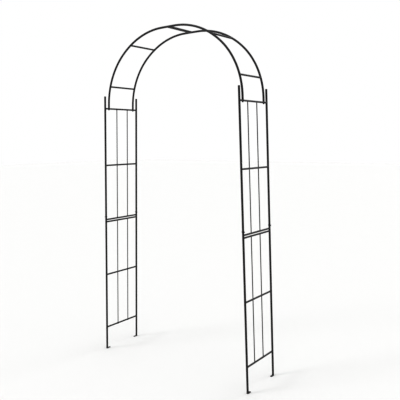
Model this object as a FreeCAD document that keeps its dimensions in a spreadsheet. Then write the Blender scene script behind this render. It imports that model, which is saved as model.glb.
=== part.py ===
import FreeCAD, Part
import math
import os
import Sketcher

# Garden trellis arch of round steel tube. Two ladder panels stand left and right of a walkway, each in two
# sections that slip together at mid-height, and a bowed ladder in two halves stands on their top rungs. The
# panels lean towards each other a little, so that the feet stand wider than the arch.
# Frame: X across the walkway, Y through it, Z up; the origin is on the ground at the middle of the arch.

SIZES = (
    # alias, millimetres or degrees
    ("span", 1200),  # left to right uprights, between their axes on the ground
    ("depth", 305),  # front to back uprights, between their axes
    ("panel_lean", 1.8),  # degrees that each side panel leans inwards
    ("first_rung_height", 160),  # ground to the lowest rung's axis, up the panel as all its heights are
    ("rung_pitch", 390),
    ("upright_reach", 80),  # upright above the top rung's axis
    ("tube_diameter", 13),
    ("tube_wall", 1.2),
    ("rung_diameter", 11),
    ("rung_wall", 1.2),
    ("rod_diameter", 6),
    ("rod_overhang", 3),  # rod past the axis of the rung it ends on
    ("seam_offset", 8),  # seam between two sections to the axis of the rung beside it
    ("weld_gap", 0.1),  # root gap wherever one tube is welded to the side of another
    ("spigot_length", 45),
    ("spigot_clearance", 0.15),
    ("spigot_neck", 4),  # length over which the bore narrows below the spigot
    ("joint_bolt_offset", 28),  # seam to the bolt through the slip joint
    ("arch_inset", 35),  # arch tube's axis inside the upright's axis
    ("arch_rise", 480),  # top rung's axis to the crown's axis
    ("arch_foot_straight", 30),
    ("crown_straight_margin", 5),  # straight of the crown past the spigot's length
    ("shoulder_turn", 48),  # degrees from upright where the tighter bend ends and the flatter one begins
    ("arch_first_rung", 150),  # along the arch tube, from the top rung's axis
    ("foot_thickness", 3),
    ("foot_margin", 0.5),  # foot plate beyond the upright, all round
    ("foot_hole_offset", 22),  # upright's axis to the peg hole's axis
    ("foot_hole_diameter", 6.5),
    ("cap_head", 2.5),
    ("cap_stem", 12),
    ("cap_chamfer", 1),
    ("insert_clearance", 0.1),  # round plugs in the tubes' bores, on the radius
    ("hole_clearance", 0.25),  # bolt holes, on the radius
    ("thread_clearance", 0.05),  # bolts in their nuts and plugs, on the radius
    ("joint_bolt_diameter", 4),
    ("joint_head_diameter", 8),
    ("joint_head_height", 2.6),
    ("joint_head_rim", 0.9),  # straight edge of the head
    ("joint_head_crown", 4.8),  # flat top of the head, across
    ("joint_nut_width", 7),  # across the flats
    ("joint_nut_height", 3.2),
    ("joint_bolt_tail", 1.5),  # bolt past its nut
    ("foot_bolt_diameter", 5),
    ("foot_bolt_length", 25),
    ("foot_bolt_head_width", 8),  # across the flats
    ("foot_bolt_head_height", 3.5),
    ("plug_length", 14),
    ("plug_recess", 1),  # top of the rung to the plug
    ("saddle_diameter", 12),
    ("saddle_web", 1.6),  # metal under the rung
    ("saddle_lip", 2.5),  # how far the saddle reaches up round the rung
)

UPRIGHT_LEVELS = ("lower", "upper")
SIDES = {"left": -1, "right": 1}
FACES = {"front": -1, "back": 1}

HALF_SPAN = "sizes.span / 2"
HALF_DEPTH = "sizes.depth / 2"
HALF_ARCH_DEPTH = "(sizes.depth / 2 - sizes.arch_inset)"
SEAM = "(sizes.first_rung_height + 2 * sizes.rung_pitch)"
TOP_RUNG = f"({SEAM} + 2 * sizes.rung_pitch)"
UPRIGHT_TOP = f"({TOP_RUNG} + sizes.upright_reach)"
TUBE_RADIUS = "sizes.tube_diameter / 2"
TUBE_BORE = "(sizes.tube_diameter / 2 - sizes.tube_wall)"
SPIGOT_RADIUS = "(sizes.tube_diameter / 2 - sizes.tube_wall - sizes.spigot_clearance)"
SPIGOT_BORE = "(sizes.tube_diameter / 2 - 2 * sizes.tube_wall - sizes.spigot_clearance)"
RUNG_RADIUS = "sizes.rung_diameter / 2"
JOINT_HOLE = "(sizes.joint_bolt_diameter / 2 + sizes.hole_clearance)"

LEAN_COS = "cos(sizes.panel_lean)"
LEAN_SIN = "sin(sizes.panel_lean)"
ARCH_HALF_SPAN = f"(sizes.span / 2 - {TOP_RUNG} * {LEAN_SIN})"
ARCH_BASE = f"({TOP_RUNG} * {LEAN_COS})"

# The arch's quarter is a straight foot in line with the panel, the shoulder bend, the flatter crown bend and a
# straight crown. The two bend radii follow from the span and the rise that the bends have left to cover.
CROWN_STRAIGHT = "(sizes.spigot_length + sizes.crown_straight_margin)"
BEND_SPAN = f"({ARCH_HALF_SPAN} - sizes.arch_foot_straight * {LEAN_SIN} - {CROWN_STRAIGHT})"
BEND_RISE = f"(sizes.arch_rise - sizes.arch_foot_straight * {LEAN_COS})"
TURN_COS = "cos(sizes.shoulder_turn)"
TURN_SIN = "sin(sizes.shoulder_turn)"
SHOULDER_ANGLE = "(sizes.shoulder_turn - sizes.panel_lean)"
BEND_SOLVE = f"({LEAN_COS} - {TURN_COS} - sin({SHOULDER_ANGLE}))"
SHOULDER_RADIUS = f"(({BEND_SPAN} * (1 - {TURN_SIN}) - {BEND_RISE} * {TURN_COS}) / {BEND_SOLVE})"
CROWN_RADIUS = (f"(({BEND_RISE} * ({LEAN_COS} - {TURN_COS}) - {BEND_SPAN} * ({TURN_SIN} - {LEAN_SIN}))"
                f" / {BEND_SOLVE})")
SHOULDER_X = f"({ARCH_HALF_SPAN} - sizes.arch_foot_straight * {LEAN_SIN} - {SHOULDER_RADIUS} * {LEAN_COS})"
SHOULDER_Z = f"(sizes.arch_foot_straight * {LEAN_COS} - {SHOULDER_RADIUS} * {LEAN_SIN})"

X_AXIS = FreeCAD.Vector(1, 0, 0)
Y_AXIS = FreeCAD.Vector(0, 1, 0)
Z_AXIS = FreeCAD.Vector(0, 0, 1)
ALONG_Z = FreeCAD.Rotation()
ALONG_Y = FreeCAD.Rotation(Z_AXIS, Y_AXIS)
ALONG_X = FreeCAD.Rotation(Z_AXIS, X_AXIS)

doc = FreeCAD.newDocument("trellis_arch")
sheet = doc.addObject("Spreadsheet::Sheet", "sizes")
for row, (alias, number) in enumerate(SIZES, start=1):
    sheet.set(f"A{row}", alias.replace("_", " "))
    sheet.set(f"B{row}", str(number))
    sheet.setAlias(f"B{row}", alias)
doc.recompute()

nodes = []


def value(expression):
    """The number an expression over the sheet gives."""
    return float(sheet.evalExpression(expression))


def place(x=0, y=0, z=0, rotation=ALONG_Z):
    return FreeCAD.Placement(FreeCAD.Vector(x, y, z), rotation)


def bind(obj, **expressions):
    """Ties properties of an object to expressions over the sheet."""
    for name, expression in expressions.items():
        obj.setExpression(name, expression)
    return obj


def keep(obj, label):
    """Marks an object as a sub-part of the arch, exported under its label."""
    obj.Label = label
    nodes.append(obj)
    return obj


# --- building blocks -------------------------------------------------------------------------------------------


def rod(name, radius, length, placement=None):
    """Solid round bar from its placement along its own Z."""
    bar = bind(doc.addObject("Part::Cylinder", name), Radius=radius, Height=length)
    bar.Placement = placement or place()
    return bar


def cut(name, base, tool):
    result = doc.addObject("Part::Cut", name)
    result.Base = base
    result.Tool = tool
    return result


def fuse(name, shapes):
    result = doc.addObject("Part::MultiFuse", name)
    result.Shapes = shapes
    return result


def group(label, pieces):
    """One sub-part of identical, separate solids."""
    result = doc.addObject("Part::Compound", label)
    result.Links = pieces
    return keep(result, label)


def hexagon(name, width, height):
    """Hexagonal prism, its width measured across the flats."""
    prism = doc.addObject("Part::Prism", name)
    prism.Polygon = 6
    return bind(prism, Circumradius=f"{width} / 2 / cos(30)", Height=height)


def turned(name, profile):
    """Body turned about Z from a closed outline of (radius, height) expressions."""
    body = doc.addObject("PartDesign::Body", name)
    sketch = body.newObject("Sketcher::SketchObject", name + "_profile")
    plane = next(item for item in body.Origin.OriginFeatures if item.Role == "XZ_Plane")
    sketch.AttachmentSupport = (plane, [""])
    sketch.MapMode = "FlatFace"
    corners = [FreeCAD.Vector(value(across), value(up), 0) for across, up in profile]
    for index, corner in enumerate(corners):
        sketch.addGeometry(Part.LineSegment(corner, corners[(index + 1) % len(corners)]), False)
    for index in range(len(corners)):
        following = (index + 1) % len(corners)
        sketch.addConstraint(Sketcher.Constraint("Coincident", index, 2, following, 1))
    for index, (across, up) in enumerate(profile):
        corner = corners[index]
        for kind, distance, expression in (("DistanceX", corner.x, across), ("DistanceY", corner.y, up)):
            constraint = sketch.addConstraint(Sketcher.Constraint(kind, -1, 1, index, 1, distance))
            sketch.setExpression(f"Constraints[{constraint}]", expression)
    turn = body.newObject("PartDesign::Revolution", name + "_turn")
    turn.Profile = sketch
    turn.ReferenceAxis = (sketch, ["V_Axis"])
    turn.Angle = 360
    return body


# --- side panels: uprights, rungs and rods ----------------------------------------------------------------------


def panel(side_sign):
    """Frame of a side panel: on the ground under its middle, its Z up the leaning uprights."""
    lean = FreeCAD.Rotation(Y_AXIS, -side_sign * value("sizes.panel_lean"))
    return place(side_sign * value(HALF_SPAN), rotation=lean)


def joint_hole(name, rotation, centre):
    """Cutter for the bolt hole across a tube, centred on a point."""
    reach = value("sizes.tube_diameter")
    across = FreeCAD.Placement(centre, rotation) * place(z=-reach)
    return rod(name, JOINT_HOLE, "2 * sizes.tube_diameter", across)


def sole(name, side_sign):
    """Cutter that ends a leaning tube level, on top of its foot plate."""
    block = bind(doc.addObject("Part::Box", name), Length="2 * sizes.tube_diameter",
                 Width="2 * sizes.tube_diameter", Height="2 * sizes.foot_thickness")
    reach = value("sizes.tube_diameter")
    level = place(rotation=FreeCAD.Rotation(Y_AXIS, side_sign * value("sizes.panel_lean")))
    block.Placement = level * place(-reach, -reach, -value("sizes.foot_thickness"))
    return block


def lower_upright(name, side_sign):
    """Tube from the foot plate to the seam, with the reduced spigot that the upper tube slips over."""
    tube = turned(name, (
        (TUBE_BORE, "0"),
        (TUBE_RADIUS, "0"),
        (TUBE_RADIUS, SEAM),
        (SPIGOT_RADIUS, SEAM),
        (SPIGOT_RADIUS, f"{SEAM} + sizes.spigot_length"),
        (SPIGOT_BORE, f"{SEAM} + sizes.spigot_length"),
        (SPIGOT_BORE, SEAM),
        (TUBE_BORE, f"{SEAM} - sizes.spigot_neck"),
    ))
    return cut(name + "_levelled", tube, sole(name + "_sole", side_sign))


def upper_upright(name, _side_sign):
    """Plain tube from the seam to above the top rung."""
    return turned(name, (
        (TUBE_BORE, SEAM),
        (TUBE_RADIUS, SEAM),
        (TUBE_RADIUS, UPRIGHT_TOP),
        (TUBE_BORE, UPRIGHT_TOP),
    ))


def uprights(side, side_sign):
    makers = {"lower": lower_upright, "upper": upper_upright}
    for face, face_sign in FACES.items():
        for level in UPRIGHT_LEVELS:
            name = f"{side}_{level}_{face}_upright"
            tube = makers[level](name + "_tube", side_sign)
            centre = FreeCAD.Vector(0, 0, value(f"{SEAM} + sizes.joint_bolt_offset"))
            upright = cut(name, tube, joint_hole(name + "_hole", ALONG_X, centre))
            upright.Placement = panel(side_sign) * place(y=face_sign * value(HALF_DEPTH))
            keep(upright, name)


def coped_rung(name, length):
    """Rung tube along Y, centred, its ends coped to two round tubes that stand a length apart."""
    ends = value(length) / 2
    along = place(y=-ends, rotation=ALONG_Y)
    outer = rod(name + "_outer", RUNG_RADIUS, length, along)
    bore = rod(name + "_bore", f"{RUNG_RADIUS} - sizes.rung_wall", length, along)
    cope_radius = f"{TUBE_RADIUS} + sizes.weld_gap"
    low = -value("sizes.rung_diameter")
    copes = [
        rod(f"{name}_cope_{face}", cope_radius, "2 * sizes.rung_diameter", place(y=sign * ends, z=low))
        for face, sign in FACES.items()
    ]
    return cut(name, outer, fuse(name + "_cuts", [bore] + copes))


def drilled_rung(name, length):
    """Coped rung with the two upright holes that the arch's foot bolts pass through."""
    low = -value("sizes.rung_diameter")
    holes = [
        rod(f"{name}_hole_{face}", "sizes.foot_bolt_diameter / 2 + sizes.hole_clearance",
            "2 * sizes.rung_diameter", place(y=sign * value(HALF_ARCH_DEPTH), z=low))
        for face, sign in FACES.items()
    ]
    return cut(name, coped_rung(name + "_blank", length), fuse(name + "_holes", holes))


PANEL_RUNGS = (
    # section and place in it, height of the axis, maker
    ("lower_bottom", "sizes.first_rung_height", coped_rung),
    ("lower_middle", "sizes.first_rung_height + sizes.rung_pitch", coped_rung),
    ("lower_top", f"{SEAM} - sizes.seam_offset", coped_rung),
    ("upper_bottom", f"{SEAM} + sizes.seam_offset", coped_rung),
    ("upper_middle", f"{SEAM} + sizes.rung_pitch", coped_rung),
    ("upper_top", TOP_RUNG, drilled_rung),
)


def panel_rungs(side, side_sign):
    for where, height, maker in PANEL_RUNGS:
        name = f"{side}_{where}_rung"
        rung = maker(name, "sizes.depth")
        rung.Placement = panel(side_sign) * place(z=value(height))
        keep(rung, name)


def panel_rods(side, side_sign):
    """Thin rods at the thirds of the depth, welded to the rungs' walkway sides."""
    stand_off = value(f"{RUNG_RADIUS} + sizes.rod_diameter / 2 + sizes.weld_gap")
    spans = {
        "lower": ("sizes.first_rung_height", f"{SEAM} - sizes.seam_offset"),
        "upper": (f"{SEAM} + sizes.seam_offset", TOP_RUNG),
    }
    for face, face_sign in FACES.items():
        for level, (bottom, top) in spans.items():
            name = f"{side}_{level}_{face}_rod"
            length = f"{top} - ({bottom}) + 2 * sizes.rod_overhang"
            start = value(f"{bottom} - sizes.rod_overhang")
            foot = panel(side_sign) * place(-side_sign * stand_off, face_sign * value("sizes.depth / 6"), start)
            keep(rod(name, "sizes.rod_diameter / 2", length, foot), name)


def foot_plate(side, side_sign, face, face_sign):
    """Flat tab under an upright, rounded at both ends, with a peg hole towards the panel's middle."""
    name = f"{side}_{face}_foot"
    radius = f"{TUBE_RADIUS} + sizes.foot_margin"
    inward = -face_sign * value("sizes.foot_hole_offset")
    heel = rod(name + "_heel", radius, "sizes.foot_thickness")
    toe = rod(name + "_toe", radius, "sizes.foot_thickness", place(y=inward))
    web = bind(doc.addObject("Part::Box", name + "_web"), Length=f"2 * ({radius})",
               Width="sizes.foot_hole_offset", Height="sizes.foot_thickness")
    web.Placement = place(-value(radius), min(0, inward))
    blank = fuse(name + "_blank", [heel, toe, web])
    blank.Refine = True
    hole = rod(name + "_hole", "sizes.foot_hole_diameter / 2", "sizes.foot_thickness", place(y=inward))
    plate = cut(name, blank, hole)
    plate.Placement = place(side_sign * value(HALF_SPAN), face_sign * value(HALF_DEPTH))
    keep(plate, name)


# --- arch: bent tubes and their rungs ---------------------------------------------------------------------------


def bend(name, radius, section, turn, placement):
    """Round bar bent about Y, from the +X side upwards."""
    ring = doc.addObject("Part::Torus", name)
    bind(ring, Radius1=radius, Radius2=section, Angle3=turn)
    ring.Placement = placement
    return ring


def arch_bar(name, section):
    """Round bar along a quarter of the arch: foot on the right at z = 0, crown at x = 0."""
    upright = FreeCAD.Rotation(X_AXIS, 90)
    lean = value("sizes.panel_lean")
    crown_x = value(CROWN_STRAIGHT)
    crown_z = value(f"sizes.arch_rise - {CROWN_RADIUS}")
    leaning = upright * FreeCAD.Rotation(Z_AXIS, lean)
    turned_on = upright * FreeCAD.Rotation(Z_AXIS, value("sizes.shoulder_turn"))
    return fuse(name, [
        rod(name + "_foot", section, "sizes.arch_foot_straight",
            place(value(ARCH_HALF_SPAN), rotation=FreeCAD.Rotation(Y_AXIS, -lean))),
        bend(name + "_shoulder", SHOULDER_RADIUS, section, SHOULDER_ANGLE,
             place(value(SHOULDER_X), 0, value(SHOULDER_Z), leaning)),
        bend(name + "_bow", CROWN_RADIUS, section, "90 - sizes.shoulder_turn",
             place(crown_x, 0, crown_z, turned_on)),
        rod(name + "_crown", section, CROWN_STRAIGHT, place(z=value("sizes.arch_rise"), rotation=ALONG_X)),
    ])


def arch_tube(name, has_spigot):
    """Quarter tube of the arch, its foot saddled over the top rung, its crown end open or with a spigot."""
    cope = rod(name + "_cope", f"{RUNG_RADIUS} + sizes.weld_gap", "2 * sizes.tube_diameter",
               place(value(ARCH_HALF_SPAN), -value("sizes.tube_diameter"), 0, ALONG_Y))
    tube = cut(name + "_shell", arch_bar(name + "_outer", TUBE_RADIUS),
               fuse(name + "_inner", [arch_bar(name + "_bore", TUBE_BORE), cope]))
    bolt_x = value("sizes.joint_bolt_offset")
    crown = value("sizes.arch_rise")
    if not has_spigot:
        return cut(name, tube, joint_hole(name + "_hole", ALONG_Y, FreeCAD.Vector(bolt_x, 0, crown)))
    # The spigot is turned about its own Z, from inside the tube's end to its tip, then laid along -X.
    spigot = turned(name + "_spigot", (
        (TUBE_BORE, "-sizes.spigot_neck"),
        (TUBE_RADIUS, "0"),
        (SPIGOT_RADIUS, "0"),
        (SPIGOT_RADIUS, "sizes.spigot_length"),
        (SPIGOT_BORE, "sizes.spigot_length"),
        (SPIGOT_BORE, "0"),
    ))
    spigot.Placement = place(z=crown, rotation=FreeCAD.Rotation(Z_AXIS, -X_AXIS))
    whole = fuse(name + "_whole", [tube, spigot])
    return cut(name, whole, joint_hole(name + "_hole", ALONG_Y, FreeCAD.Vector(-bolt_x, 0, crown)))


def arch_tubes(side):
    """The left tubes are the right-hand quarter turned half round, with the spigots."""
    half_turn = FreeCAD.Rotation(Z_AXIS, 180 if side == "left" else 0)
    for face, face_sign in FACES.items():
        name = f"{side}_{face}_arch_tube"
        tube = arch_tube(name, side == "left")
        tube.Placement = place(0, face_sign * value(HALF_ARCH_DEPTH), value(ARCH_BASE), half_turn)
        keep(tube, name)


def arch_station(distance):
    """Place on the right-hand quarter at a distance along it: x, height above the foot, turn in degrees."""
    foot = value("sizes.arch_foot_straight")
    shoulder = value(SHOULDER_RADIUS)
    crown = value(CROWN_RADIUS)
    lean = math.radians(value("sizes.panel_lean"))
    first_turn = math.radians(value("sizes.shoulder_turn"))
    past_foot = distance - foot
    past_shoulder = past_foot - shoulder * (first_turn - lean)
    past_bow = past_shoulder - crown * (math.pi / 2 - first_turn)
    if past_foot < 0:
        x = value(ARCH_HALF_SPAN) - distance * math.sin(lean)
        return x, distance * math.cos(lean), math.degrees(lean)
    if past_shoulder < 0:
        turn = lean + past_foot / shoulder
        x = value(SHOULDER_X) + shoulder * math.cos(turn)
        return x, value(SHOULDER_Z) + shoulder * math.sin(turn), math.degrees(turn)
    if past_bow < 0:
        turn = first_turn + past_shoulder / crown
        x = value(CROWN_STRAIGHT) + crown * math.cos(turn)
        return x, value("sizes.arch_rise") - crown * (1 - math.sin(turn)), math.degrees(turn)
    return value(CROWN_STRAIGHT) - past_bow, value("sizes.arch_rise"), 90


def arch_length():
    shoulder = value(SHOULDER_RADIUS) * math.radians(value(SHOULDER_ANGLE))
    bow = value(CROWN_RADIUS) * math.radians(90 - value("sizes.shoulder_turn"))
    return value("sizes.arch_foot_straight") + shoulder + bow + value(CROWN_STRAIGHT)


def arch_rungs(side, side_sign):
    first = value("sizes.arch_first_rung")
    last = arch_length() - value("sizes.seam_offset")
    stations = {"lower": first, "middle": (first + last) / 2, "crown": last}
    for where, distance in stations.items():
        name = f"{side}_arch_{where}_rung"
        x, height, turn = arch_station(distance)
        rung = coped_rung(name, f"2 * {HALF_ARCH_DEPTH}")
        tilt = FreeCAD.Rotation(Y_AXIS, -side_sign * turn)
        rung.Placement = place(side_sign * x, 0, value(ARCH_BASE) + height, tilt)
        keep(rung, name)


# --- small pieces: caps, plugs, saddles, bolts and nuts ---------------------------------------------------------


def corners():
    """Name and signs of the four corners of the arch in plan."""
    for side, side_sign in SIDES.items():
        for face, face_sign in FACES.items():
            yield f"{side}_{face}", side_sign, face_sign


def end_cap(name):
    """Push-in cap: a chamfered head as wide as the tube and a stem in its bore."""
    stem = f"{TUBE_BORE} - sizes.insert_clearance"
    return turned(name, (
        ("0", "-sizes.cap_stem"),
        (stem, "-sizes.cap_stem"),
        (stem, "0"),
        (TUBE_RADIUS, "0"),
        (TUBE_RADIUS, "sizes.cap_head - sizes.cap_chamfer"),
        (f"{TUBE_RADIUS} - sizes.cap_chamfer", "sizes.cap_head"),
        ("0", "sizes.cap_head"),
    ))


def upright_caps():
    caps = []
    for corner, side_sign, face_sign in corners():
        cap = end_cap("cap_" + corner)
        cap.Placement = panel(side_sign) * place(0, face_sign * value(HALF_DEPTH), value(UPRIGHT_TOP))
        caps.append(cap)
    group("upright_caps", caps)


def arch_foot(corner_place, name):
    """Plug, bolt and saddle washer of one arch foot, all on the axis of the arch tube at its top rung."""
    bottom = f"{RUNG_RADIUS} + sizes.plug_recess"
    plug = cut(
        "plug_" + name,
        rod("plug_blank_" + name, f"{TUBE_BORE} - sizes.insert_clearance", "sizes.plug_length"),
        rod("plug_thread_" + name, "sizes.foot_bolt_diameter / 2 + sizes.thread_clearance", "sizes.plug_length"),
    )
    plug.Placement = corner_place * place(z=value(bottom))

    seat = f"{RUNG_RADIUS} + sizes.saddle_web"
    head = hexagon("foot_bolt_head_" + name, "sizes.foot_bolt_head_width", "sizes.foot_bolt_head_height")
    head.Placement = place(z=-value("sizes.foot_bolt_head_height"))
    shank = rod("foot_bolt_shank_" + name, "sizes.foot_bolt_diameter / 2", "sizes.foot_bolt_length")
    bolt = fuse("foot_bolt_" + name, [head, shank])
    bolt.Placement = corner_place * place(z=-value(seat))

    disc = rod("saddle_disc_" + name, "sizes.saddle_diameter / 2", "sizes.saddle_web + sizes.saddle_lip",
               place(z=-value(seat)))
    groove = rod("saddle_groove_" + name, RUNG_RADIUS, "2 * sizes.saddle_diameter",
                 place(y=-value("sizes.saddle_diameter"), rotation=ALONG_Y))
    hole = rod("saddle_hole_" + name, "sizes.foot_bolt_diameter / 2 + sizes.hole_clearance",
               "2 * sizes.rung_diameter", place(z=-value("2 * sizes.rung_diameter")))
    saddle = cut("saddle_" + name, disc, fuse("saddle_cuts_" + name, [groove, hole]))
    saddle.Placement = corner_place
    return plug, bolt, saddle


def arch_feet():
    sets = []
    for corner, side_sign, face_sign in corners():
        where = panel(side_sign) * place(0, face_sign * value(HALF_ARCH_DEPTH), value(TOP_RUNG))
        sets.append(arch_foot(where, corner))
    plugs, bolts, saddles = zip(*sets)
    group("arch_foot_plugs", list(plugs))
    group("arch_foot_bolts", list(bolts))
    group("arch_foot_saddles", list(saddles))


def joint_bolt(name):
    """Round-headed bolt, seated at z = 0 with its head above and its shank below, through tube and nut."""
    radius = "sizes.joint_bolt_diameter / 2"
    head = "sizes.joint_head_diameter / 2"
    tip = "-(sizes.tube_diameter + sizes.joint_nut_height + sizes.joint_bolt_tail)"
    return turned(name, (
        ("0", tip),
        (radius, tip),
        (radius, "0"),
        (head, "0"),
        (head, "sizes.joint_head_rim"),
        ("sizes.joint_head_crown / 2", "sizes.joint_head_height"),
        ("0", "sizes.joint_head_height"),
    ))


def joint_nut(name):
    """Hexagon nut seated at z = 0 and rising."""
    thread = rod(name + "_thread", "sizes.joint_bolt_diameter / 2 + sizes.thread_clearance",
                 "sizes.joint_nut_height")
    return cut(name, hexagon(name + "_blank", "sizes.joint_nut_width", "sizes.joint_nut_height"), thread)


def fasten(name, centre, outward):
    """Bolt and nut through the middle of a slip joint, the bolt's head on the outward side."""
    radius = value(TUBE_RADIUS)
    bolt = joint_bolt("bolt_" + name)
    bolt.Placement = FreeCAD.Placement(centre + outward * radius, FreeCAD.Rotation(Z_AXIS, outward))
    nut = joint_nut("nut_" + name)
    nut.Placement = FreeCAD.Placement(centre - outward * radius, FreeCAD.Rotation(Z_AXIS, -outward))
    return bolt, nut


def panel_joints():
    """Heads on the walkway side, nuts outside."""
    pairs = []
    height = value(f"{SEAM} + sizes.joint_bolt_offset")
    for corner, side_sign, face_sign in corners():
        frame = panel(side_sign)
        centre = frame.multVec(FreeCAD.Vector(0, face_sign * value(HALF_DEPTH), height))
        pairs.append(fasten("panel_" + corner, centre, frame.Rotation.multVec(X_AXIS * -side_sign)))
    bolts, nuts = zip(*pairs)
    group("panel_joint_bolts", list(bolts))
    group("panel_joint_nuts", list(nuts))


def crown_joints():
    """Heads on the front and back faces, nuts between the tubes."""
    pairs = []
    for face, face_sign in FACES.items():
        centre = FreeCAD.Vector(value("sizes.joint_bolt_offset"), face_sign * value(HALF_ARCH_DEPTH),
                                value(f"{ARCH_BASE} + sizes.arch_rise"))
        pairs.append(fasten("crown_" + face, centre, Y_AXIS * face_sign))
    bolts, nuts = zip(*pairs)
    group("crown_joint_bolts", list(bolts))
    group("crown_joint_nuts", list(nuts))


# --- assembly ---------------------------------------------------------------------------------------------------


for side, side_sign in SIDES.items():
    uprights(side, side_sign)
    panel_rungs(side, side_sign)
    panel_rods(side, side_sign)
    arch_tubes(side)
    arch_rungs(side, side_sign)
for corner, side_sign, face_sign in corners():
    side, face = corner.split("_")
    foot_plate(side, side_sign, face, face_sign)
upright_caps()
arch_feet()
panel_joints()
crown_joints()
doc.recompute()

for obj in doc.Objects:
    if "Invalid" in obj.State or "Error" in obj.State:
        raise RuntimeError(f"{obj.Label} failed to compute: {obj.State}")
for node in nodes:
    if node.Shape.isNull() or not node.Shape.isValid():
        raise RuntimeError(f"{node.Label} has no valid shape")

os.makedirs("parts", exist_ok=True)
for node in nodes:
    node.Shape.exportStep(f"parts/{node.Label}.step")
print(f"{len(nodes)} sub-parts written")
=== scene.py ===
import math
import random

import bmesh
import bpy
from mathutils import Matrix, Vector, noise


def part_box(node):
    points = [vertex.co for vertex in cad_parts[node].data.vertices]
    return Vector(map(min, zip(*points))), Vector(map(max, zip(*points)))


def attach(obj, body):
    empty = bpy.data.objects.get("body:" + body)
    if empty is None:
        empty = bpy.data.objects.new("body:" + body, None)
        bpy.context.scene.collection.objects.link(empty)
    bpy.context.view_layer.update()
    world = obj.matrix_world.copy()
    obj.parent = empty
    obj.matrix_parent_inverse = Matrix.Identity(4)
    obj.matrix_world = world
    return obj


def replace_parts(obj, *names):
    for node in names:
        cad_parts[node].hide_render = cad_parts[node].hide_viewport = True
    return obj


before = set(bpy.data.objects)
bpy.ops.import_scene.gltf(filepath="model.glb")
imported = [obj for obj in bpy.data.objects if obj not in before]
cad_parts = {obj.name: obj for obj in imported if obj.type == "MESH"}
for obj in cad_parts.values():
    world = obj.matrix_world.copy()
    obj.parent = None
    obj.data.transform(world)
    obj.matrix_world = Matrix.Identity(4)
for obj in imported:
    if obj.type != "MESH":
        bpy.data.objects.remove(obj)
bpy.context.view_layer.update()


# --- Tubes, rungs and rods ------------------------------------------------------------------------------
# The arch is drawn steel tube: uprights and bent arch tubes of one size, thinner tube for the rungs, solid
# wire rod between the rungs. Each section is welded up bare, then dipped, dried and powder coated satin
# black in one go, so the coat runs over tube, bead and plate alike and is a little thick at the cut ends.

COAT_COLOUR = (0.0075, 0.0075, 0.0082, 1)
COAT_COLOUR_THIN = (0.0125, 0.0122, 0.0125, 1)
COAT_ROUGHNESS = (0.33, 0.45)
COAT_SPECULAR = 0.25
COAT_PEEL_PER_METRE = 430
COAT_PEEL_HEIGHT = 0.00005
COAT_SAG_PER_METRE = 55
COAT_SAG_HEIGHT = 0.00035
COAT_CLOUD_PER_METRE = 16
DUST_COLOUR = (0.085, 0.078, 0.068, 1)
DUST_GRAIN_PER_METRE = 900
DUST_ON_TOP = 0.34
SPLASH_HEIGHT = 0.13
SPLASH_SHARE = 0.2
TUBE_END_ROUND = 0.00035
WIRE_END_ROUND = 0.0006
MERGE_DISTANCE = 0.000002
ROUNDED_FROM = math.radians(40)


def new_material(name):
    """Node material with its principled shader and the object's own coordinates, in metres."""
    material = bpy.data.materials.new(name)
    material.use_nodes = True
    tree = material.node_tree
    shader = tree.nodes["Principled BSDF"]
    place = tree.nodes.new("ShaderNodeTexCoord").outputs["Object"]
    return material, tree, shader, place


def grain(tree, place, per_metre, detail=2.0, roughness=0.5):
    """Noise over the surface, its grains counted per metre."""
    texture = tree.nodes.new("ShaderNodeTexNoise")
    texture.inputs["Scale"].default_value = per_metre
    texture.inputs["Detail"].default_value = detail
    texture.inputs["Roughness"].default_value = roughness
    tree.links.new(place, texture.inputs["Vector"])
    return texture.outputs["Fac"]


def spread(tree, source, low, high, to_low=0.0, to_high=1.0):
    """Stretches a value from one range to another and holds it there."""
    ramp = tree.nodes.new("ShaderNodeMapRange")
    for name, number in (("From Min", low), ("From Max", high), ("To Min", to_low), ("To Max", to_high)):
        ramp.inputs[name].default_value = number
    tree.links.new(source, ramp.inputs["Value"])
    return ramp.outputs["Result"]


def times(tree, first, second):
    """Product of two values, each a number or a socket."""
    product = tree.nodes.new("ShaderNodeMath")
    product.operation = "MULTIPLY"
    for socket, source in zip(product.inputs, (first, second)):
        if isinstance(source, float):
            socket.default_value = source
        else:
            tree.links.new(source, socket)
    return product.outputs["Value"]


def blend_colours(tree, share, first, second):
    """Colour between two others; either may be a colour or a socket."""
    mix = tree.nodes.new("ShaderNodeMix")
    mix.data_type = "RGBA"
    tree.links.new(share, mix.inputs["Factor"])
    for socket, source in ((mix.inputs[6], first), (mix.inputs[7], second)):
        if isinstance(source, tuple):
            socket.default_value = source
        else:
            tree.links.new(source, socket)
    return mix.outputs[2]


def raise_surface(tree, height, distance, under=None):
    """Bump of a real height in metres, over another bump where one is given."""
    bump = tree.nodes.new("ShaderNodeBump")
    bump.inputs["Strength"].default_value = 1.0
    bump.inputs["Distance"].default_value = distance
    tree.links.new(height, bump.inputs["Height"])
    if under is not None:
        tree.links.new(under, bump.inputs["Normal"])
    return bump.outputs["Normal"]


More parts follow.
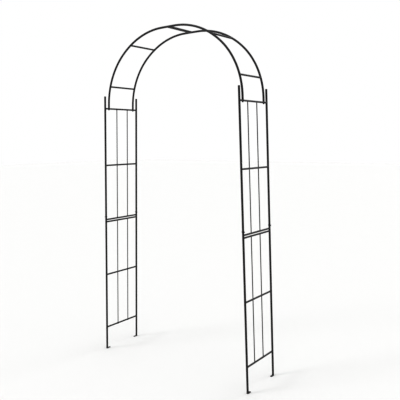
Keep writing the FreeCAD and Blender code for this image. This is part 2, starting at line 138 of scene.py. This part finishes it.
def settled_dust(tree, place, grain_per_metre):
    """Share of fine dust: on what faces up, and as dried splashes near the ground."""
    facing = tree.nodes.new("ShaderNodeSeparateXYZ")
    tree.links.new(tree.nodes.new("ShaderNodeNewGeometry").outputs["Normal"], facing.inputs["Vector"])
    height = tree.nodes.new("ShaderNodeSeparateXYZ")
    tree.links.new(place, height.inputs["Vector"])
    specks = spread(tree, grain(tree, place, grain_per_metre, 4.0, 0.7), 0.46, 0.74)
    on_top = times(tree, spread(tree, facing.outputs["Z"], 0.35, 1.0, 0.0, DUST_ON_TOP), specks)
    drops = spread(tree, grain(tree, place, grain_per_metre / 5, 5.0, 0.65), 0.52, 0.66)
    splash = times(tree, spread(tree, height.outputs["Z"], SPLASH_HEIGHT, 0.0, 0.0, SPLASH_SHARE), drops)
    total = tree.nodes.new("ShaderNodeMath")
    total.operation = "ADD"
    total.use_clamp = True
    tree.links.new(on_top, total.inputs[0])
    tree.links.new(splash, total.inputs[1])
    return total.outputs["Value"]


def powder_coat():
    """Satin black powder coat: fine orange peel, a slow sag of the film, clouded gloss, a breath of dust."""
    material, tree, shader, place = new_material("satin_black_powder_coat")
    clouds = grain(tree, place, COAT_CLOUD_PER_METRE, 4.0, 0.6)
    film = blend_colours(tree, spread(tree, clouds, 0.35, 0.7), COAT_COLOUR, COAT_COLOUR_THIN)
    dust = settled_dust(tree, place, DUST_GRAIN_PER_METRE)
    tree.links.new(blend_colours(tree, dust, film, DUST_COLOUR), shader.inputs["Base Color"])
    tree.links.new(spread(tree, clouds, 0.3, 0.7, *COAT_ROUGHNESS), shader.inputs["Roughness"])
    shader.inputs["Specular IOR Level"].default_value = COAT_SPECULAR
    sag = raise_surface(tree, grain(tree, place, COAT_SAG_PER_METRE, 1.0), COAT_SAG_HEIGHT)
    peel = raise_surface(tree, grain(tree, place, COAT_PEEL_PER_METRE, 2.0), COAT_PEEL_HEIGHT, sag)
    tree.links.new(peel, shader.inputs["Normal"])
    return material


def soften(node, width):
    """Rounds the sheared edges of a CAD node with modifiers, its own mesh untouched."""
    weld = node.modifiers.new("joined_faces", "WELD")
    weld.merge_threshold = MERGE_DISTANCE
    bevel = node.modifiers.new("rounded_edges", "BEVEL")
    bevel.width = width
    bevel.segments = 3
    bevel.limit_method = "ANGLE"
    bevel.angle_limit = ROUNDED_FROM
    bevel.loop_slide = False
    bevel.use_clamp_overlap = False
    shading = node.modifiers.new("even_shading", "WEIGHTED_NORMAL")
    shading.keep_sharp = True


coat = powder_coat()
for name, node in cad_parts.items():
    if name.endswith(("_upright", "_rung", "_rod", "_arch_tube")):
        node.material_slots[0].material = coat
    if name.endswith(("_upright", "_arch_tube")):
        soften(node, TUBE_END_ROUND)
    if name.endswith("_rod"):
        soften(node, WIRE_END_ROUND)


# --- Weld beads at the rungs' ends ----------------------------------------------------------------------
# Every rung's coped end is welded to its tube by hand, with one thin bead carried round the saddle line in
# short steps. Each step leaves a ripple, the end of the bead laps its start in a small lump, and the
# powder coat goes over it all.

TUBE_RADIUS = 0.0065
RUNG_RADIUS = 0.0055
PANEL_LEAN = math.radians(1.8)
ARCH_RUNG_TURNS = {"lower": 17.27, "middle": 58.19, "crown": 90.0}
BEAD_LEG = 0.0015
BEAD_CROWN = 0.00042
BEAD_RIPPLE = 0.00013
BEAD_STEPS = 26
BEAD_SAMPLES_PER_STEP = 5
BEAD_FACE_POINTS = 5
BEAD_LAP = 0.35
BEAD_LAP_SPAN = 0.2
BEAD_SLOW_SWAY = 0.1
BEAD_QUICK_SWAY = 0.08
BEAD_RIPPLE_BEND = 1.9
BEAD_RIPPLE_CURVE = 0.7
BEAD_SINK = 0.0002
BEAD_ROOT_SHARE = 0.93
BEAD_TOE_SHARE = 0.985
TUBE_TOE_LIMIT = 0.0061
WELD_SHARP_ANGLE = 60


def centre_of(name):
    """Middle of a CAD node's box."""
    low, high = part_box(name)
    return (low + high) / 2


HALF_SPAN = centre_of("right_front_foot").x
HALF_DEPTH = centre_of("right_upper_back_upright").y
HALF_ARCH_DEPTH = centre_of("right_back_arch_tube").y


def panel(side):
    """Frame of a leaning side panel: on the ground under its middle, Z up the uprights."""
    return Matrix.Translation((side * HALF_SPAN, 0, 0)) @ Matrix.Rotation(-side * PANEL_LEAN, 4, "Y")


def closed_ring(mesh, loops):
    """Skins a closed row of closed cross-sections."""
    rows = [[mesh.verts.new(point) for point in loop] for loop in loops]
    for index, row in enumerate(rows):
        following = rows[(index + 1) % len(rows)]
        for step in range(len(row)):
            after = (step + 1) % len(row)
            mesh.faces.new((row[step], row[after], following[after], following[step]))


def finish_piece(name, mesh, material, sharp_angle=35):
    """Turns a bmesh into a piece of the arch, smooth but for its true edges."""
    bmesh.ops.recalc_face_normals(mesh, faces=mesh.faces)
    data = bpy.data.meshes.new(name)
    mesh.to_mesh(data)
    mesh.free()
    data.shade_smooth()
    data.set_sharp_from_angle(angle=math.radians(sharp_angle))
    data.materials.append(material)
    piece = bpy.data.objects.new(name, data)
    bpy.context.scene.collection.objects.link(piece)
    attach(piece, "root")
    return piece


def rung_bead(mesh, place, half_length, end, rng):
    """Bead where a rung meets the tube at one of its ends; in its frame the rung lies along Y."""
    samples = BEAD_STEPS * BEAD_SAMPLES_PER_STEP
    start = rng.uniform(0, math.tau)
    sway = [rng.uniform(0, math.tau) for _ in range(3)]
    loops = []
    for sample in range(samples):
        angle = math.tau * sample / samples
        across, along = math.cos(angle), math.sin(angle)
        off_lap = math.atan2(math.sin(angle - start), math.cos(angle - start))
        lap = math.exp(-((off_lap / BEAD_LAP_SPAN) ** 2))
        swell = 1 + BEAD_LAP * lap
        swell += BEAD_SLOW_SWAY * math.sin(2 * angle + sway[0])
        swell += BEAD_QUICK_SWAY * math.sin(5 * angle + sway[1])
        leg = BEAD_LEG * swell
        on_rung = Vector((RUNG_RADIUS * across, 0, RUNG_RADIUS * along))
        on_rung.y = half_length - math.sqrt(TUBE_RADIUS ** 2 - on_rung.x ** 2)
        root = Vector((on_rung.x * BEAD_ROOT_SHARE, on_rung.y + BEAD_SINK, on_rung.z * BEAD_ROOT_SHARE))
        reach = RUNG_RADIUS + leg
        toe_x = max(-TUBE_TOE_LIMIT, min(TUBE_TOE_LIMIT, reach * across))
        tube_toe = Vector((toe_x, half_length - math.sqrt(TUBE_RADIUS ** 2 - toe_x ** 2), reach * along))
        tube_toe.y += BEAD_SINK
        rung_toe = Vector((on_rung.x * BEAD_TOE_SHARE, on_rung.y - leg, on_rung.z * BEAD_TOE_SHARE))
        outward = ((tube_toe + rung_toe) / 2 - root).normalized()
        face = [tube_toe]
        for step in range(1, BEAD_FACE_POINTS):
            share = step / BEAD_FACE_POINTS
            arch = math.sin(math.pi * share)
            phase = BEAD_STEPS * (angle - start) + BEAD_RIPPLE_BEND * arch + sway[2]
            ripple = BEAD_RIPPLE * arch * (1 - 2 * abs(math.sin(phase / 2)) ** BEAD_RIPPLE_CURVE)
            crown = BEAD_CROWN * swell * arch
            face.append(tube_toe.lerp(rung_toe, share) + outward * (crown + ripple))
        face += [rung_toe, root]
        loops.append([place @ Vector((p.x, end * p.y, p.z)) for p in face])
    closed_ring(mesh, loops)


rng = random.Random(7)
for side_name, side in (("left", -1), ("right", 1)):
    beads = bmesh.new()
    for where in ("lower_bottom", "lower_middle", "lower_top", "upper_bottom", "upper_middle", "upper_top"):
        middle = Matrix.Translation(centre_of(f"{side_name}_{where}_rung"))
        leaning = middle @ Matrix.Rotation(-side * PANEL_LEAN, 4, "Y")
        for end in (-1, 1):
            rung_bead(beads, leaning, HALF_DEPTH, end, rng)
    finish_piece(f"{side_name}_panel_rung_welds", beads, coat, WELD_SHARP_ANGLE)
    beads = bmesh.new()
    for where, turn in ARCH_RUNG_TURNS.items():
        middle = Matrix.Translation(centre_of(f"{side_name}_arch_{where}_rung"))
        bent = middle @ Matrix.Rotation(-side * math.radians(turn), 4, "Y")
        for end in (-1, 1):
            rung_bead(beads, bent, HALF_ARCH_DEPTH, end, rng)
    finish_piece(f"{side_name}_arch_rung_welds", beads, coat, WELD_SHARP_ANGLE)


# --- Spot welds between rods and rungs ------------------------------------------------------------------
# The rods lie on the rungs' walkway sides and are joined to them by resistance: the electrodes press the
# crossing together, and a flat nugget of steel is squeezed out into the corners round the contact.

NUGGET_HALF = Vector((0.0019, 0.0039, 0.0042))
NUGGET_ROUGH = 0.16
NUGGET_GRAIN_PER_METRE = 330
NUGGET_SQUARENESS = 0.8
NUGGET_SHIFT = Vector((3.1, 1.7, 2.3))


def nugget(mesh, place, seed):
    """Flattened lump of squeezed-out steel, uneven round its rim."""
    made = bmesh.ops.create_icosphere(mesh, subdivisions=3, radius=1.0)["verts"]
    for vert in made:
        plump = Vector(math.copysign(abs(part) ** NUGGET_SQUARENESS, part) for part in vert.co)
        grown = Vector(plump[axis] * NUGGET_HALF[axis] for axis in range(3))
        wave = noise.noise(grown * NUGGET_GRAIN_PER_METRE + seed * NUGGET_SHIFT)
        vert.co = place @ (grown * (1 + NUGGET_ROUGH * wave))


for side_name, side in (("left", -1), ("right", 1)):
    nuggets = bmesh.new()
    count = 0
    for level in ("lower", "upper"):
        for face in ("front", "back"):
            rod_y = centre_of(f"{side_name}_{level}_{face}_rod").y
            for where in ("bottom", "middle", "top"):
                rung = centre_of(f"{side_name}_{level}_{where}_rung")
                count += 1
                crossing = Matrix.Translation((rung.x, rod_y, rung.z))
                crossing = crossing @ Matrix.Rotation(-side * PANEL_LEAN, 4, "Y")
                nugget(nuggets, crossing @ Matrix.Translation((-side * RUNG_RADIUS, 0, 0)), count)
    finish_piece(f"{side_name}_rod_spot_welds", nuggets, coat, WELD_SHARP_ANGLE)


# --- Foot plates and their welds ------------------------------------------------------------------------
# Each upright stands on a stamped steel tab with rounded ends and a punched peg hole. The stamping leaves
# soft edges, and a bead round the tube's foot holds it, thin where the tab is only just wider than the
# tube and fuller towards the hole.

FOOT_THICKNESS = 0.003
FOOT_HALF_WIDTH = 0.007
FOOT_EDGE_ROUND = 0.0005
FOOT_BEAD_HEIGHT = 0.0019
FOOT_BEAD_THIN_HEIGHT = 0.55
FOOT_BEAD_MOST = 0.0019
FOOT_BEAD_LEAST = 0.0004
FOOT_BEAD_STEPS = 30
FOOT_BEAD_EDGE_ROOM = 0.0001
FOOT_BEAD_SIDE_LIMIT = 0.3
FOOT_BEAD_SWAY = 0.1
FOOT_BEAD_CROWN = 0.12


def foot_bead(mesh, place, inward, rng):
    """Bead round an upright's foot; inward is the sign of Y towards the peg hole."""
    samples = FOOT_BEAD_STEPS * BEAD_SAMPLES_PER_STEP
    sway = rng.uniform(0, math.tau)
    loops = []
    for sample in range(samples):
        angle = math.tau * sample / samples
        across, along = math.cos(angle), math.sin(angle)
        edge = FOOT_HALF_WIDTH / max(abs(across), FOOT_BEAD_SIDE_LIMIT)
        room = edge - TUBE_RADIUS - FOOT_BEAD_EDGE_ROOM
        width = FOOT_BEAD_LEAST
        if along * inward > 0:
            width = max(FOOT_BEAD_LEAST, min(FOOT_BEAD_MOST, room))
        swell = 1 + FOOT_BEAD_SWAY * math.sin(3 * angle + sway)
        fullness = width / FOOT_BEAD_MOST
        height = FOOT_BEAD_THIN_HEIGHT + (1 - FOOT_BEAD_THIN_HEIGHT) * fullness
        height *= FOOT_BEAD_HEIGHT * swell
        out = Vector((across, along, 0))
        root = out * (TUBE_RADIUS - BEAD_SINK * 2) - Vector((0, 0, BEAD_SINK))
        plate_toe = out * (TUBE_RADIUS + width) - Vector((0, 0, BEAD_SINK))
        tube_toe = out * (TUBE_RADIUS - BEAD_SINK) + Vector((0, 0, height))
        face = [plate_toe]
        for step in range(1, BEAD_FACE_POINTS):
            share = step / BEAD_FACE_POINTS
            arch = math.sin(math.pi * share)
            phase = FOOT_BEAD_STEPS * angle + BEAD_RIPPLE_BEND * arch + sway
            ripple = BEAD_RIPPLE * (1 - 2 * abs(math.sin(phase / 2)) ** BEAD_RIPPLE_CURVE) * fullness
            point = plate_toe.lerp(tube_toe, share)
            face.append(point + (out + Vector((0, 0, 1))) * arch * (FOOT_BEAD_CROWN * width + ripple))
        face += [tube_toe, root]
        loops.append([place @ point for point in face])
    closed_ring(mesh, loops)


beads = bmesh.new()
for side_name, side in (("left", -1), ("right", 1)):
    for face_name, face in (("front", -1), ("back", 1)):
        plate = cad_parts[f"{side_name}_{face_name}_foot"]
        plate.material_slots[0].material = coat
        soften(plate, FOOT_EDGE_ROUND)
        shift = side * math.tan(PANEL_LEAN) * FOOT_THICKNESS
        foot = Matrix.Translation((side * HALF_SPAN - shift, face * HALF_DEPTH, FOOT_THICKNESS))
        foot_bead(beads, foot, -face, rng)
finish_piece("foot_plate_welds", beads, coat, WELD_SHARP_ANGLE)


# --- Bolts and nuts of the slip joints ------------------------------------------------------------------
# A round-headed machine screw with a cross recess goes through each slip joint into a plain hexagon nut.
# Both are cold-formed steel with a black zinc finish, slicker than the powder coat and a little worn on
# the corners and round the recess, where the spanner and the driver have turned.

JOINT_HEIGHT = 0.968
CROWN_JOINT_X = 0.028
SCREW_RADIUS = 0.002
SCREW_HEAD = (
    # radius and height of the turned head, from its seat to the middle of its top
    (0.0020, 0.0), (0.0037, 0.0), (0.0040, 0.0003), (0.0040, 0.0008), (0.0039, 0.0013), (0.0036, 0.00178),
    (0.0031, 0.00218), (0.0024, 0.00245), (0.0015, 0.00258), (0.0006, 0.0026),
)
SCREW_TAIL = 0.0177
RECESS_LENGTH = 0.0046
RECESS_WIDTH = 0.00105
RECESS_DEPTH = 0.0016
RECESS_TAPER = 0.42
RECESS_SLOT_TAPER = 0.7
RECESS_CLEAR_ABOVE = 0.0004
FUSED = 0.0001
THREAD_PITCH = 0.0007
THREAD_DEPTH = 0.0004
THREAD_TURNS_SHOWN = 9
NUT_ACROSS = 0.007
NUT_HEIGHT = 0.0032
NUT_BORE = 0.00205
NUT_COUNTERSINK = 0.12
HEX_CHAMFER_START = 0.94
HEX_CHAMFER_SLOPE = math.tan(math.radians(30))
HEX_FACE_RING = 0.75
HEX_FACE_CENTRE = 0.12
ROUND_STEPS = 48
THREAD_STEPS = 24
THREAD_LEVELS_PER_TURN = 8
ZINC_COLOUR = (0.022, 0.022, 0.025, 1)
ZINC_COLOUR_WORN = (0.09, 0.088, 0.085, 1)
ZINC_WEAR = 0.5
ZINC_METALLIC = 0.75
ZINC_ROUGHNESS = (0.24, 0.38)
ZINC_CLOUD_PER_METRE = 260
ZINC_SCRATCH_PER_METRE = 1500
ZINC_CLOUD_HEIGHT = 0.00003


def black_zinc():
    """Black zinc on cold-formed steel: dark and metallic, cloudy, with fine tumbling scratches."""
    material, tree, shader, place = new_material("black_zinc_steel")
    clouds = grain(tree, place, ZINC_CLOUD_PER_METRE, 4.0, 0.6)
    marks = spread(tree, grain(tree, place, ZINC_SCRATCH_PER_METRE, 5.0, 0.8), 0.58, 0.72)
    tone = blend_colours(tree, times(tree, marks, ZINC_WEAR), ZINC_COLOUR, ZINC_COLOUR_WORN)
    tree.links.new(tone, shader.inputs["Base Color"])
    tree.links.new(spread(tree, clouds, 0.3, 0.7, *ZINC_ROUGHNESS), shader.inputs["Roughness"])
    shader.inputs["Metallic"].default_value = ZINC_METALLIC
    tree.links.new(raise_surface(tree, clouds, ZINC_CLOUD_HEIGHT), shader.inputs["Normal"])
    return material


def skin(mesh, rows, closed_ends=True):
    """Sides between rings of points, from the lowest to the highest, and a face over each end."""
    for lower, upper in zip(rows, rows[1:]):
        for k in range(len(lower)):
            after = (k + 1) % len(lower)
            mesh.faces.new((lower[k], lower[after], upper[after], upper[k]))
    if closed_ends:
        mesh.faces.new(rows[0][::-1])
        mesh.faces.new(rows[-1])


def turned_shape(mesh, profile, place=Matrix()):
    """Lathe-turned solid from (radius, height) points, closed at both ends."""
    rows = []
    around = [math.tau * k / ROUND_STEPS for k in range(ROUND_STEPS)]
    for radius, height in profile:
        ring = [Vector((radius * math.cos(angle), radius * math.sin(angle), height)) for angle in around]
        rows.append([mesh.verts.new(place @ point) for point in ring])
    skin(mesh, rows)


def threaded_rod(mesh, bottom, top, radius, pitch, depth):
    """Screw thread between two heights, a helical ridge on a closed rod, its first turn run out."""
    rows = []
    levels = round((top - bottom) / pitch * THREAD_LEVELS_PER_TURN)
    for level in range(levels + 1):
        height = bottom + (top - bottom) * level / levels
        fade = min(1.0, (height - bottom) / pitch)
        row = []
        for k in range(THREAD_STEPS):
            turn = (k / THREAD_STEPS + height / pitch) % 1.0
            ridge = 1 - abs(2 * turn - 1)
            reach = radius - depth + depth * ridge * fade
            angle = math.tau * k / THREAD_STEPS
            row.append(mesh.verts.new((reach * math.cos(angle), reach * math.sin(angle), height)))
        rows.append(row)
    skin(mesh, rows)


def hexagon_shape(mesh, across, height, bore=None, bottom=0.0):
    """Hexagon with its corners chamfered at both faces, solid or with a countersunk bore."""
    flat = across / 2
    rows = []

    def row(radius_at, height_at):
        rows.append([])
        for k in range(ROUND_STEPS):
            angle = math.tau * k / ROUND_STEPS
            corner = flat / math.cos((angle % (math.pi / 3)) - math.pi / 6)
            radius = radius_at(corner)
            rows[-1].append(mesh.verts.new((radius * math.cos(angle), radius * math.sin(angle),
                                            bottom + height_at(radius))))

    def fall(radius):
        return max(0.0, radius - flat * HEX_CHAMFER_START) * HEX_CHAMFER_SLOPE

    inner = bore or flat * HEX_FACE_CENTRE
    rim = bore * (1 + NUT_COUNTERSINK) if bore else flat * HEX_FACE_RING
    sunk = bore * NUT_COUNTERSINK if bore else 0.0
    row(lambda corner: inner, lambda radius: sunk)
    row(lambda corner: rim, lambda radius: 0.0)
    row(lambda corner: flat * HEX_CHAMFER_START, lambda radius: 0.0)
    row(lambda corner: corner, fall)
    row(lambda corner: corner, lambda radius: height - fall(radius))
    row(lambda corner: flat * HEX_CHAMFER_START, lambda radius: height)
    row(lambda corner: rim, lambda radius: height)
    row(lambda corner: inner, lambda radius: height - sunk)
    if bore:
        rows.append(rows[0])
    skin(mesh, rows, closed_ends=bore is None)


def cross_recess(mesh, top):
    """Tapered plus-shaped cutter, a little above the head and down to the recess's depth."""
    long_half, short_half = RECESS_LENGTH / 2, RECESS_WIDTH / 2
    quarter = ((long_half, -short_half), (long_half, short_half), (short_half, short_half))
    turns = [Matrix.Rotation(math.pi / 2 * turn, 2) for turn in range(4)]
    outline = [turn @ Vector(point) for turn in turns for point in quarter]
    rows = []
    for height, share in ((top - RECESS_DEPTH, RECESS_TAPER), (top + RECESS_CLEAR_ABOVE, 1.0)):
        narrowing = 1 - RECESS_SLOT_TAPER * (1 - share)
        rows.append([mesh.verts.new((point.x * share, point.y * narrowing, height)) for point in outline])
    skin(mesh, rows)


def carved(solid, cutter):
    """Mesh of one solid with another cut out of it."""
    holders = []
    for name, mesh in (("carved_solid", solid), ("carving_tool", cutter)):
        bmesh.ops.recalc_face_normals(mesh, faces=mesh.faces)
        data = bpy.data.meshes.new(name)
        mesh.to_mesh(data)
        mesh.free()
        holders.append(bpy.data.objects.new(name, data))
        bpy.context.scene.collection.objects.link(holders[-1])
    modifier = holders[0].modifiers.new("carve", "BOOLEAN")
    modifier.operation = "DIFFERENCE"
    modifier.solver = "EXACT"
    modifier.object = holders[1]
    evaluated = holders[0].evaluated_get(bpy.context.evaluated_depsgraph_get())
    result = bpy.data.meshes.new_from_object(evaluated)
    for holder in holders:
        bpy.data.objects.remove(holder)
    return result


def pattern(mesh):
    """Keeps a bmesh as a mesh to repeat."""
    bmesh.ops.recalc_face_normals(mesh, faces=mesh.faces)
    data = bpy.data.meshes.new("pattern")
    mesh.to_mesh(data)
    mesh.free()
    return data


def repeat(mesh, data, place):
    """Adds a copy of a pattern at a place."""
    copy = bmesh.new()
    copy.from_mesh(data)
    bmesh.ops.transform(copy, matrix=place, verts=copy.verts)
    moved = bpy.data.meshes.new("copy")
    copy.to_mesh(moved)
    copy.free()
    mesh.from_mesh(moved)
    bpy.data.meshes.remove(moved)


head = bmesh.new()
turned_shape(head, SCREW_HEAD)
recess = bmesh.new()
cross_recess(recess, SCREW_HEAD[-1][1])
screw = bmesh.new()
screw.from_mesh(carved(head, recess))
thread_top = -SCREW_TAIL + THREAD_TURNS_SHOWN * THREAD_PITCH
threaded_rod(screw, -SCREW_TAIL, thread_top, SCREW_RADIUS, THREAD_PITCH, THREAD_DEPTH)
turned_shape(screw, ((SCREW_RADIUS, thread_top), (SCREW_RADIUS, FUSED)))
screw = pattern(screw)
nut = bmesh.new()
hexagon_shape(nut, NUT_ACROSS, NUT_HEIGHT, NUT_BORE)
nut = pattern(nut)
zinc = black_zinc()

screws, nuts = bmesh.new(), bmesh.new()
for side in (-1, 1):
    for face in (-1, 1):
        joint = panel(side) @ Matrix.Translation((0, face * HALF_DEPTH, JOINT_HEIGHT))
        towards_walkway = joint @ Matrix.Rotation(-side * math.pi / 2, 4, "Y")
        away = joint @ Matrix.Rotation(side * math.pi / 2, 4, "Y")
        turn = Matrix.Rotation(rng.uniform(0, math.tau), 4, "Z")
        repeat(screws, screw, towards_walkway @ Matrix.Translation((0, 0, TUBE_RADIUS)) @ turn)
        turn = Matrix.Rotation(rng.uniform(0, math.tau), 4, "Z")
        repeat(nuts, nut, away @ Matrix.Translation((0, 0, TUBE_RADIUS)) @ turn)
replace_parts(finish_piece("slip_joint_screws", screws, zinc), "panel_joint_bolts")
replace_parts(finish_piece("slip_joint_nuts", nuts, zinc), "panel_joint_nuts")

screws, nuts = bmesh.new(), bmesh.new()
crown_height = centre_of("right_arch_crown_rung").z
for face in (-1, 1):
    joint = Matrix.Translation((CROWN_JOINT_X, face * HALF_ARCH_DEPTH, crown_height))
    outward = joint @ Matrix.Rotation(-face * math.pi / 2, 4, "X")
    inward = joint @ Matrix.Rotation(face * math.pi / 2, 4, "X")
    turn = Matrix.Rotation(rng.uniform(0, math.tau), 4, "Z")
    repeat(screws, screw, outward @ Matrix.Translation((0, 0, TUBE_RADIUS)) @ turn)
    turn = Matrix.Rotation(rng.uniform(0, math.tau), 4, "Z")
    repeat(nuts, nut, inward @ Matrix.Translation((0, 0, TUBE_RADIUS)) @ turn)
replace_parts(finish_piece("crown_joint_screws", screws, zinc), "crown_joint_bolts")
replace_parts(finish_piece("crown_joint_hex_nuts", nuts, zinc), "crown_joint_nuts")


# --- Arch feet: hexagon bolts, saddles and plugs --------------------------------------------------------
# The arch stands on the top rungs. Under each foot a hexagon bolt goes up through a cast saddle washer and
# the rung into a threaded plug in the tube. All three have the slip joints' black zinc.

TOP_RUNG_HEIGHT = 1.72
SADDLE_WEB = 0.0016
SADDLE_EDGE_ROUND = 0.00025
HEX_HEAD_ACROSS = 0.008
HEX_HEAD_HEIGHT = 0.0035
WASHER_FACE_HEIGHT = 0.0003
WASHER_FACE_SHARE = 0.47
FOOT_BOLT_RADIUS = 0.0025
FOOT_BOLT_LENGTH = 0.025
FOOT_BOLT_THREAD_PITCH = 0.0008
FOOT_BOLT_THREAD_DEPTH = 0.00045
FOOT_BOLT_THREAD_START = 0.013

bolt = bmesh.new()
washer_face_radius = HEX_HEAD_ACROSS * WASHER_FACE_SHARE
hexagon_shape(bolt, HEX_HEAD_ACROSS, HEX_HEAD_HEIGHT - WASHER_FACE_HEIGHT, bottom=-HEX_HEAD_HEIGHT)
turned_shape(bolt, ((washer_face_radius, -WASHER_FACE_HEIGHT - FUSED), (washer_face_radius, 0.0)))
turned_shape(bolt, ((FOOT_BOLT_RADIUS, -FUSED), (FOOT_BOLT_RADIUS, FOOT_BOLT_THREAD_START)))
threaded = bmesh.new()
threaded_rod(threaded, 0.0, FOOT_BOLT_LENGTH - FOOT_BOLT_THREAD_START, FOOT_BOLT_RADIUS,
             FOOT_BOLT_THREAD_PITCH, FOOT_BOLT_THREAD_DEPTH)
upside_down = Matrix.Translation((0, 0, FOOT_BOLT_LENGTH)) @ Matrix.Rotation(math.pi, 4, "X")
repeat(bolt, pattern(threaded), upside_down)
bolt = pattern(bolt)

bolts = bmesh.new()
for side in (-1, 1):
    for face in (-1, 1):
        seat = Matrix.Translation((0, face * HALF_ARCH_DEPTH, TOP_RUNG_HEIGHT - RUNG_RADIUS - SADDLE_WEB))
        turn = Matrix.Rotation(rng.uniform(0, math.tau), 4, "Z")
        repeat(bolts, bolt, panel(side) @ seat @ turn)
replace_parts(finish_piece("arch_foot_hex_bolts", bolts, zinc), "arch_foot_bolts")
for name in ("arch_foot_saddles", "arch_foot_plugs"):
    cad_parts[name].material_slots[0].material = zinc
soften(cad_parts["arch_foot_saddles"], SADDLE_EDGE_ROUND)


# --- Upright caps ---------------------------------------------------------------------------------------
# Black polyethylene caps close the uprights' tops. They are injection moulded: a domed head with a soft
# rim the width of the tube, a fine spark-eroded grain and the dimple of the gate, on a stem pushed into
# the bore.

CAP_HEIGHT = 1.8
CAP_PROFILE = (
    (0.0048, -0.012), (0.0052, -0.0116), (0.0052, 0.0), (0.0063, 0.0), (0.0065, 0.0002), (0.0065, 0.0009),
    (0.00635, 0.00135), (0.0060, 0.00172), (0.0052, 0.00206), (0.0040, 0.00232), (0.0026, 0.00246),
    (0.0013, 0.0025), (0.0009, 0.00248), (0.0007, 0.0023), (0.0003, 0.00225),
)
PLASTIC_COLOUR = (0.014, 0.014, 0.0145, 1)
PLASTIC_COLOUR_CHALKED = (0.026, 0.026, 0.026, 1)
PLASTIC_ROUGHNESS = (0.52, 0.66)
PLASTIC_GRAIN_PER_METRE = 2600
PLASTIC_GRAIN_HEIGHT = 0.00002
PLASTIC_CLOUD_PER_METRE = 300
PLASTIC_SPECULAR = 0.4
CAP_SHARP_ANGLE = 50


def moulded_plastic():
    """Matte black polyethylene with the mould's fine grain, chalked a little by the sun on top."""
    material, tree, shader, place = new_material("matte_black_polyethylene")
    clouds = grain(tree, place, PLASTIC_CLOUD_PER_METRE, 3.0)
    tree.links.new(blend_colours(tree, clouds, PLASTIC_COLOUR, PLASTIC_COLOUR_CHALKED),
                   shader.inputs["Base Color"])
    tree.links.new(spread(tree, clouds, 0.3, 0.7, *PLASTIC_ROUGHNESS), shader.inputs["Roughness"])
    shader.inputs["Specular IOR Level"].default_value = PLASTIC_SPECULAR
    fine = grain(tree, place, PLASTIC_GRAIN_PER_METRE, 2.0, 0.6)
    tree.links.new(raise_surface(tree, fine, PLASTIC_GRAIN_HEIGHT), shader.inputs["Normal"])
    return material


plastic = moulded_plastic()
caps = bmesh.new()
for side in (-1, 1):
    for face in (-1, 1):
        turned_shape(caps, CAP_PROFILE, panel(side) @ Matrix.Translation((0, face * HALF_DEPTH, CAP_HEIGHT)))
domed_caps = finish_piece("domed_upright_caps", caps, plastic, CAP_SHARP_ANGLE)
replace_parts(domed_caps, "upright_caps")


# --- Floor, light and camera ----------------------------------------------------------------------------
# Pale studio: a plain floor, an even sky of white light, and two wide soft lamps, one from the front
# left and one from behind, that draw a faint long highlight down each tube.

FLOOR_SIZE = 60.0
FLOOR_COLOUR = (0.765, 0.765, 0.76, 1)
FLOOR_ROUGHNESS = (0.62, 0.7)
FLOOR_GRAIN_PER_METRE = 3
FLOOR_SPECULAR = 0.1
SKY_COLOUR = (1.0, 1.0, 1.0, 1)
SKY_STRENGTH = 1.0
PICTURE_CONTRAST = 0.75
LAMPS = (
    # name, from where, towards what, angle across in degrees, strength
    ("key", (-3.2, -4.2, 5.2), (0, 0, 1.1), 16, 1.1),
    ("back", (1.6, 4.6, 4.4), (0, 0, 1.3), 22, 0.5),
)
CAMERA_PLACE = (2.195, -2.7143, 1.4947)
CAMERA_HEADING = math.radians(37.054)
CAMERA_PITCH = math.radians(-6.383)
CAMERA_ROLL = math.radians(-0.613)
CAMERA_LENS = 47.835

floor_mesh = bmesh.new()
bmesh.ops.create_grid(floor_mesh, x_segments=8, y_segments=8, size=FLOOR_SIZE / 2)
floor_data = bpy.data.meshes.new("studio_floor")
floor_mesh.to_mesh(floor_data)
floor_mesh.free()
floor = bpy.data.objects.new("studio_floor", floor_data)
bpy.context.scene.collection.objects.link(floor)
paint, tree, shader, place = new_material("pale_floor_paint")
gloss = spread(tree, grain(tree, place, FLOOR_GRAIN_PER_METRE), 0.3, 0.7, *FLOOR_ROUGHNESS)
tree.links.new(gloss, shader.inputs["Roughness"])
shader.inputs["Base Color"].default_value = FLOOR_COLOUR
shader.inputs["Specular IOR Level"].default_value = FLOOR_SPECULAR
floor_data.materials.append(paint)

world = bpy.data.worlds.new("studio_sky")
world.use_nodes = True
world.node_tree.nodes["Background"].inputs["Color"].default_value = SKY_COLOUR
world.node_tree.nodes["Background"].inputs["Strength"].default_value = SKY_STRENGTH
bpy.context.scene.world = world
bpy.context.scene.view_settings.view_transform = "Standard"
bpy.context.scene.view_settings.gamma = PICTURE_CONTRAST

for name, where, target, across, strength in LAMPS:
    lamp = bpy.data.lights.new(name, "SUN")
    lamp.angle = math.radians(across)
    lamp.energy = strength
    holder = bpy.data.objects.new(name, lamp)
    holder.location = where
    holder.rotation_euler = (Vector(target) - Vector(where)).to_track_quat("-Z", "Y").to_euler()
    bpy.context.scene.collection.objects.link(holder)

camera_data = bpy.data.cameras.new("camera")
camera_data.lens = CAMERA_LENS
camera_data.sensor_width = 36
camera = bpy.data.objects.new("camera", camera_data)
heading = Matrix.Rotation(CAMERA_HEADING, 4, "Z") @ Matrix.Rotation(math.pi / 2 + CAMERA_PITCH, 4, "X")
camera.matrix_world = Matrix.Translation(CAMERA_PLACE) @ heading @ Matrix.Rotation(CAMERA_ROLL, 4, "Z")
bpy.context.scene.collection.objects.link(camera)
bpy.context.scene.camera = camera
